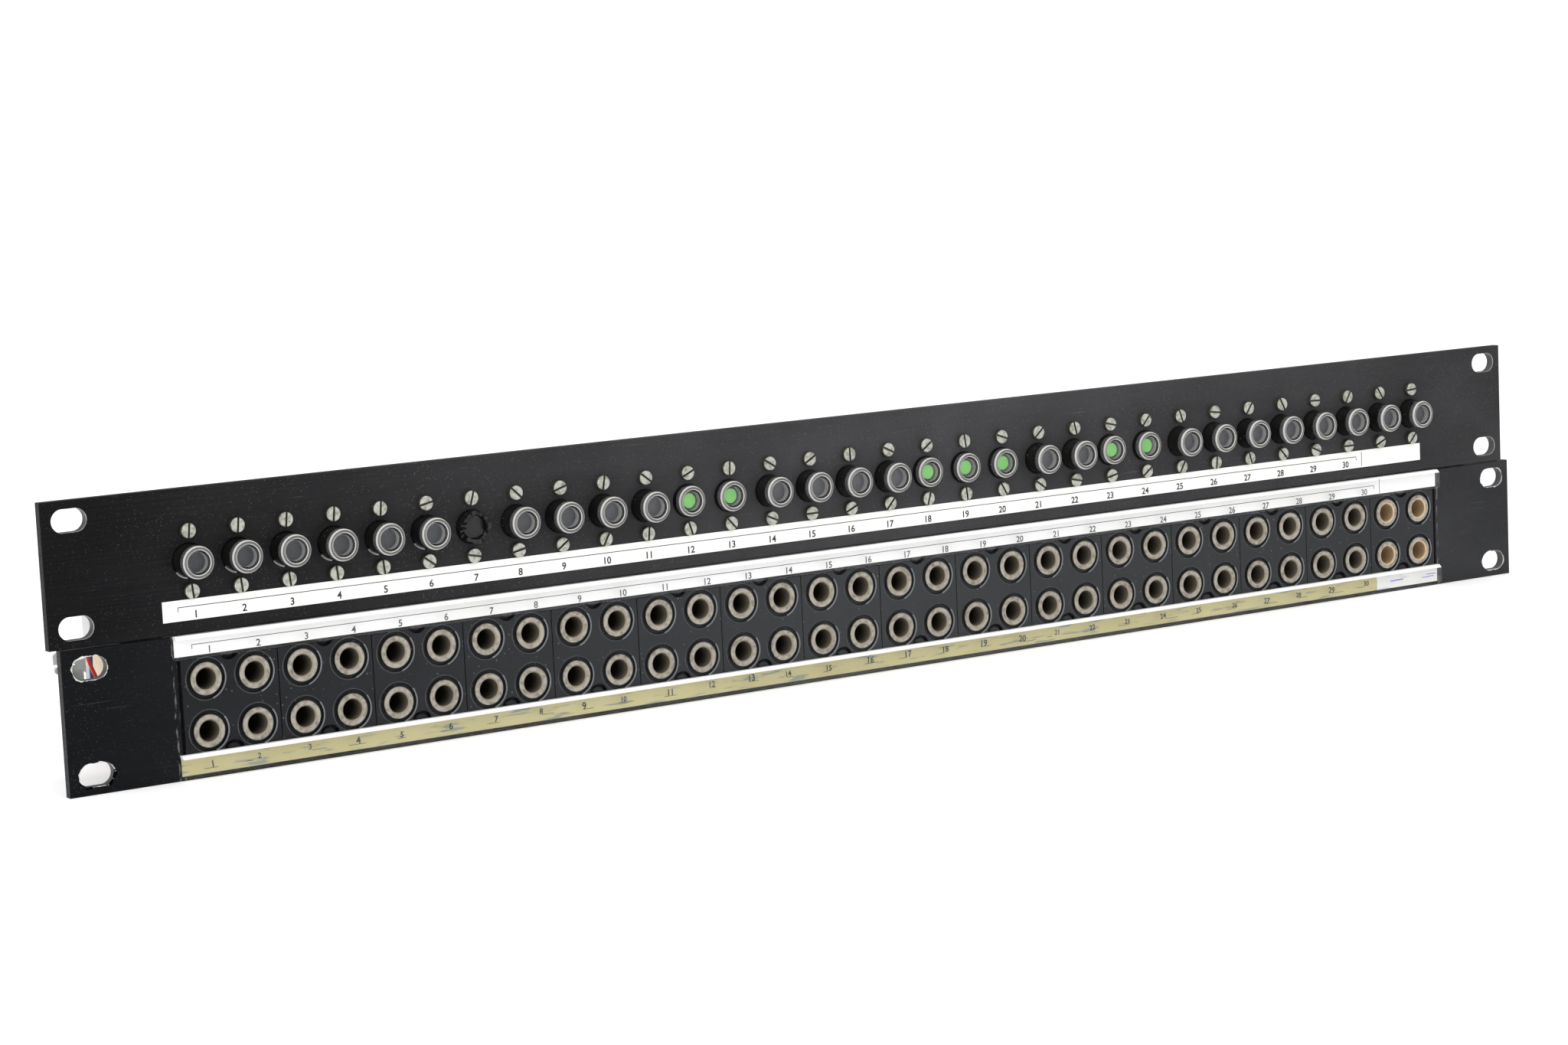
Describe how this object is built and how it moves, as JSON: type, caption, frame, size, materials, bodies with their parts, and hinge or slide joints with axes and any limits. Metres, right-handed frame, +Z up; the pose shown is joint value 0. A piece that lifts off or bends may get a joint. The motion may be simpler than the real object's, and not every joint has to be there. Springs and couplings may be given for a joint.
{
  "type": "audio patch bay",
  "caption": "Wide rack-mounted signal panel pair: a row of lit push buttons above two rows of plug jacks, with label strips and rear brackets.",
  "frame": {"origin": "centre of the lower panel's four rack slots, on the panel's front face", "axes": "+X along the panels to the right seen from the front, +Y into the rack, +Z up"},
  "size_m": [0.5875, 0.0696, 0.0877],
  "materials": {
    "black_panel": "brushed, anodised black",
    "black_moulding": "moulded matte black",
    "button_black": "satin black with a clear cap",
    "phenolic": "moulded brown",
    "green_post": "moulded green",
    "spring_wire": "drawn wire",
    "silvered_contact": "silvered strip",
    "zinc_screw": "dull zinc plate",
    "label_white": "matt printed strip",
    "clear_strip": "clear extrusion",
    "card": "yellowed card",
    "nickel": "bright nickel plate",
    "bracket_steel": "zinc plated sheet",
    "laminate": "paper laminate",
    "red_insulation": "extruded red",
    "blue_insulation": "extruded blue",
    "nylon": "natural nylon"
  },
  "bodies": {
    "frame": {"upper_panel": "black_panel", "lower_panel": "black_panel", "switch_bodies": "black_moulding", "switch_bases": "phenolic", "switch_terminals": "silvered_contact", "indicator_posts": "green_post", "switch_springs": "spring_wire", "switch_screws": "zinc_screw", "upper_label_strip": "label_white", "upper_card_holder": "clear_strip", "lower_card_holder": "clear_strip", "designation_cards": "card", "jack_housings": "black_moulding", "jack_rear_blocks": "phenolic", "jack_sleeves": "nickel", "tip_springs": "silvered_contact", "ring_springs": "silvered_contact", "normal_contacts": "silvered_contact", "module_screws": "zinc_screw", "module_inserts": "silvered_contact", "end_brackets": "bracket_steel", "bracket_fasteners": "bracket_steel", "lacing_bar": "bracket_steel", "terminal_board": "laminate", "link_bracket": "bracket_steel", "cable_clip": "nylon", "red_wire": "red_insulation", "blue_wire": "blue_insulation"},
    "button_01": {"plunger_01": "button_black"},
    "button_02": {"plunger_02": "button_black"},
    "button_03": {"plunger_03": "button_black"},
    "button_04": {"plunger_04": "button_black"},
    "button_05": {"plunger_05": "button_black"},
    "button_06": {"plunger_06": "button_black"},
    "button_07": {"plunger_07": "button_black"},
    "button_08": {"plunger_08": "button_black"},
    "button_09": {"plunger_09": "button_black"},
    "button_10": {"plunger_10": "button_black"},
    "button_11": {"plunger_11": "button_black"},
    "button_12": {"plunger_12": "button_black"},
    "button_13": {"plunger_13": "button_black"},
    "button_14": {"plunger_14": "button_black"},
    "button_15": {"plunger_15": "button_black"},
    "button_16": {"plunger_16": "button_black"},
    "button_17": {"plunger_17": "button_black"},
    "button_18": {"plunger_18": "button_black"},
    "button_19": {"plunger_19": "button_black"},
    "button_20": {"plunger_20": "button_black"},
    "button_21": {"plunger_21": "button_black"},
    "button_22": {"plunger_22": "button_black"},
    "button_23": {"plunger_23": "button_black"},
    "button_24": {"plunger_24": "button_black"},
    "button_25": {"plunger_25": "button_black"},
    "button_26": {"plunger_26": "button_black"},
    "button_27": {"plunger_27": "button_black"},
    "button_28": {"plunger_28": "button_black"},
    "button_29": {"plunger_29": "button_black"},
    "button_30": {"plunger_30": "button_black"},
    "button_31": {"plunger_31": "button_black"},
    "button_32": {"plunger_32": "button_black"}
  },
  "joints": [
    {"name": "button_01_press", "type": "slide", "parent": "frame", "child": "button_01", "axis": [0, 1, 0], "range_m": [0, 0.004], "stiffness_N_per_m": 300, "springref_m": -0.003, "deforming": ["switch_springs"]},
    {"name": "button_02_press", "type": "slide", "parent": "frame", "child": "button_02", "axis": [0, 1, 0], "range_m": [0, 0.004], "stiffness_N_per_m": 300, "springref_m": -0.003, "deforming": ["switch_springs"]},
    {"name": "button_03_press", "type": "slide", "parent": "frame", "child": "button_03", "axis": [0, 1, 0], "range_m": [0, 0.004], "stiffness_N_per_m": 300, "springref_m": -0.003, "deforming": ["switch_springs"]},
    {"name": "button_04_press", "type": "slide", "parent": "frame", "child": "button_04", "axis": [0, 1, 0], "range_m": [0, 0.004], "stiffness_N_per_m": 300, "springref_m": -0.003, "deforming": ["switch_springs"]},
    {"name": "button_05_press", "type": "slide", "parent": "frame", "child": "button_05", "axis": [0, 1, 0], "range_m": [0, 0.004], "stiffness_N_per_m": 300, "springref_m": -0.003, "deforming": ["switch_springs"]},
    {"name": "button_06_press", "type": "slide", "parent": "frame", "child": "button_06", "axis": [0, 1, 0], "range_m": [0, 0.004], "stiffness_N_per_m": 300, "springref_m": -0.003, "deforming": ["switch_springs"]},
    {"name": "button_07_press", "type": "slide", "parent": "frame", "child": "button_07", "axis": [0, 1, 0], "range_m": [0, 0.004], "stiffness_N_per_m": 300, "springref_m": -0.003, "deforming": ["switch_springs"]},
    {"name": "button_08_press", "type": "slide", "parent": "frame", "child": "button_08", "axis": [0, 1, 0], "range_m": [0, 0.004], "stiffness_N_per_m": 300, "springref_m": -0.003, "deforming": ["switch_springs"]},
    {"name": "button_09_press", "type": "slide", "parent": "frame", "child": "button_09", "axis": [0, 1, 0], "range_m": [0, 0.004], "stiffness_N_per_m": 300, "springref_m": -0.003, "deforming": ["switch_springs"]},
    {"name": "button_10_press", "type": "slide", "parent": "frame", "child": "button_10", "axis": [0, 1, 0], "range_m": [0, 0.004], "stiffness_N_per_m": 300, "springref_m": -0.003, "deforming": ["switch_springs"]},
    {"name": "button_11_press", "type": "slide", "parent": "frame", "child": "button_11", "axis": [0, 1, 0], "range_m": [0, 0.004], "stiffness_N_per_m": 300, "springref_m": -0.003, "deforming": ["switch_springs"]},
    {"name": "button_12_press", "type": "slide", "parent": "frame", "child": "button_12", "axis": [0, 1, 0], "range_m": [-0.004, 0], "deforming": ["switch_springs"]},
    {"name": "button_13_press", "type": "slide", "parent": "frame", "child": "button_13", "axis": [0, 1, 0], "range_m": [-0.004, 0], "deforming": ["switch_springs"]},
    {"name": "button_14_press", "type": "slide", "parent": "frame", "child": "button_14", "axis": [0, 1, 0], "range_m": [0, 0.004], "stiffness_N_per_m": 300, "springref_m": -0.003, "deforming": ["switch_springs"]},
    {"name": "button_15_press", "type": "slide", "parent": "frame", "child": "button_15", "axis": [0, 1, 0], "range_m": [0, 0.004], "stiffness_N_per_m": 300, "springref_m": -0.003, "deforming": ["switch_springs"]},
    {"name": "button_16_press", "type": "slide", "parent": "frame", "child": "button_16", "axis": [0, 1, 0], "range_m": [0, 0.004], "stiffness_N_per_m": 300, "springref_m": -0.003, "deforming": ["switch_springs"]},
    {"name": "button_17_press", "type": "slide", "parent": "frame", "child": "button_17", "axis": [0, 1, 0], "range_m": [0, 0.004], "stiffness_N_per_m": 300, "springref_m": -0.003, "deforming": ["switch_springs"]},
    {"name": "button_18_press", "type": "slide", "parent": "frame", "child": "button_18", "axis": [0, 1, 0], "range_m": [-0.004, 0], "deforming": ["switch_springs"]},
    {"name": "button_19_press", "type": "slide", "parent": "frame", "child": "button_19", "axis": [0, 1, 0], "range_m": [-0.004, 0], "deforming": ["switch_springs"]},
    {"name": "button_20_press", "type": "slide", "parent": "frame", "child": "button_20", "axis": [0, 1, 0], "range_m": [-0.004, 0], "deforming": ["switch_springs"]},
    {"name": "button_21_press", "type": "slide", "parent": "frame", "child": "button_21", "axis": [0, 1, 0], "range_m": [0, 0.004], "stiffness_N_per_m": 300, "springref_m": -0.003, "deforming": ["switch_springs"]},
    {"name": "button_22_press", "type": "slide", "parent": "frame", "child": "button_22", "axis": [0, 1, 0], "range_m": [0, 0.004], "stiffness_N_per_m": 300, "springref_m": -0.003, "deforming": ["switch_springs"]},
    {"name": "button_23_press", "type": "slide", "parent": "frame", "child": "button_23", "axis": [0, 1, 0], "range_m": [-0.004, 0], "deforming": ["switch_springs"]},
    {"name": "button_24_press", "type": "slide", "parent": "frame", "child": "button_24", "axis": [0, 1, 0], "range_m": [-0.004, 0], "deforming": ["switch_springs"]},
    {"name": "button_25_press", "type": "slide", "parent": "frame", "child": "button_25", "axis": [0, 1, 0], "range_m": [0, 0.004], "stiffness_N_per_m": 300, "springref_m": -0.003, "deforming": ["switch_springs"]},
    {"name": "button_26_press", "type": "slide", "parent": "frame", "child": "button_26", "axis": [0, 1, 0], "range_m": [0, 0.004], "stiffness_N_per_m": 300, "springref_m": -0.003, "deforming": ["switch_springs"]},
    {"name": "button_27_press", "type": "slide", "parent": "frame", "child": "button_27", "axis": [0, 1, 0], "range_m": [0, 0.004], "stiffness_N_per_m": 300, "springref_m": -0.003, "deforming": ["switch_springs"]},
    {"name": "button_28_press", "type": "slide", "parent": "frame", "child": "button_28", "axis": [0, 1, 0], "range_m": [0, 0.004], "stiffness_N_per_m": 300, "springref_m": -0.003, "deforming": ["switch_springs"]},
    {"name": "button_29_press", "type": "slide", "parent": "frame", "child": "button_29", "axis": [0, 1, 0], "range_m": [0, 0.004], "stiffness_N_per_m": 300, "springref_m": -0.003, "deforming": ["switch_springs"]},
    {"name": "button_30_press", "type": "slide", "parent": "frame", "child": "button_30", "axis": [0, 1, 0], "range_m": [0, 0.004], "stiffness_N_per_m": 300, "springref_m": -0.003, "deforming": ["switch_springs"]},
    {"name": "button_31_press", "type": "slide", "parent": "frame", "child": "button_31", "axis": [0, 1, 0], "range_m": [0, 0.004], "stiffness_N_per_m": 300, "springref_m": -0.003, "deforming": ["switch_springs"]},
    {"name": "button_32_press", "type": "slide", "parent": "frame", "child": "button_32", "axis": [0, 1, 0], "range_m": [0, 0.004], "stiffness_N_per_m": 300, "springref_m": -0.003, "deforming": ["switch_springs"]}
  ]
}
